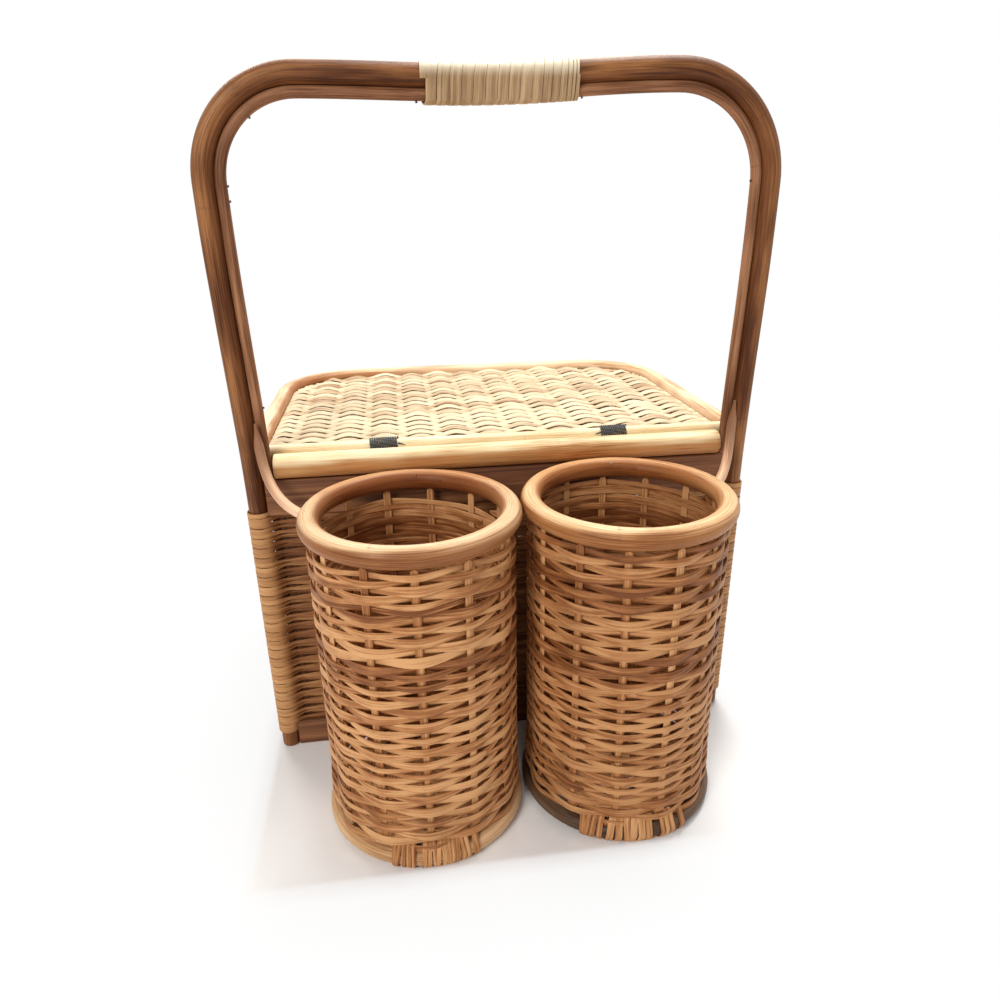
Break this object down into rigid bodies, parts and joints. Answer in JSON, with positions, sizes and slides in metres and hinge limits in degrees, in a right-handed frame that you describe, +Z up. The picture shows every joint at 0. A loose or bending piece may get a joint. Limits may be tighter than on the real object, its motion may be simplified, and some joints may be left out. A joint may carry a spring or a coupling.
{
  "type": "wine bottle basket",
  "caption": "Cane picnic basket with a tall bent handle, a lidded woven box at the back and round woven bottle holders side by side in front.",
  "frame": {"origin": "on the floor, in the middle of the basket's width and depth", "axes": "+X to the right as seen from the bottle holders, +Y from the bottle holders to the back of the box, +Z up"},
  "size_m": [0.3524, 0.3848, 0.4565],
  "materials": {
    "cane_amber": "bent cane with a satin varnish, amber to dark brown streaks",
    "cane_pink": "thin peeled cane, pinkish brown, satin",
    "cane_peach": "peeled cane, peach tan, satin with fine streaks and scuffs",
    "cane_pale": "peeled cane, pale straw on top and orange brown at the sides, satin",
    "slat_brown": "flat slat, purple brown with fine grain, matt",
    "weave_tan": "woven flat reed, tan with natural variation, matt satin",
    "weave_cream": "woven flat cane, pale cream, matt satin",
    "strip_beige": "wound flat cane skin, beige, satin",
    "board": "thin plain board, matt",
    "cord_black": "waxed black cord",
    "nail_steel": "small darkened steel nails"
  },
  "bodies": {
    "box": {"holder_rim_left": "cane_peach", "holder_base_ring_left": "cane_amber", "holder_weave_left": "weave_tan", "holder_stakes_left": "weave_tan", "base_splice_left": "strip_beige", "rim_nail_left": "nail_steel", "holder_rim_right": "cane_peach", "holder_base_ring_right": "cane_amber", "holder_weave_right": "weave_tan", "holder_stakes_right": "weave_tan", "base_splice_right": "strip_beige", "rim_nail_right": "nail_steel", "handle_pole": "cane_amber", "handle_inner_rod": "cane_pink", "handle_nail_1": "nail_steel", "handle_nail_2": "nail_steel", "handle_nail_3": "nail_steel", "handle_nail_4": "nail_steel", "handle_nail_5": "nail_steel", "handle_nail_6": "nail_steel", "handle_nail_7": "nail_steel", "grip_wrap": "strip_beige", "brace_rod_left": "cane_pink", "brace_rod_right": "cane_pink", "post_weave_left": "weave_tan", "post_weave_right": "weave_tan", "front_rail": "cane_pale", "front_top_slat": "slat_brown", "front_bottom_slat": "slat_brown", "front_woven_panel": "weave_tan", "box_top_hoop": "cane_peach", "box_top_band": "slat_brown", "box_bottom_band": "slat_brown", "box_woven_wall": "weave_tan", "box_floor": "board", "inner_front_rail": "cane_peach", "back_post_left": "cane_peach", "back_post_right": "cane_peach", "hinge_lashing_left": "cord_black", "hinge_lashing_right": "cord_black"},
    "lid": {"lid_frame": "cane_pale", "lid_front_rail": "cane_pale", "lid_weave": "weave_cream"}
  },
  "joints": [
    {"name": "lid_hinge", "type": "hinge", "parent": "box", "child": "lid", "pos_m": [0, -0.0417, 0.2264], "axis": [1, 0, 0], "range_deg": [0, 89.5]}
  ]
}
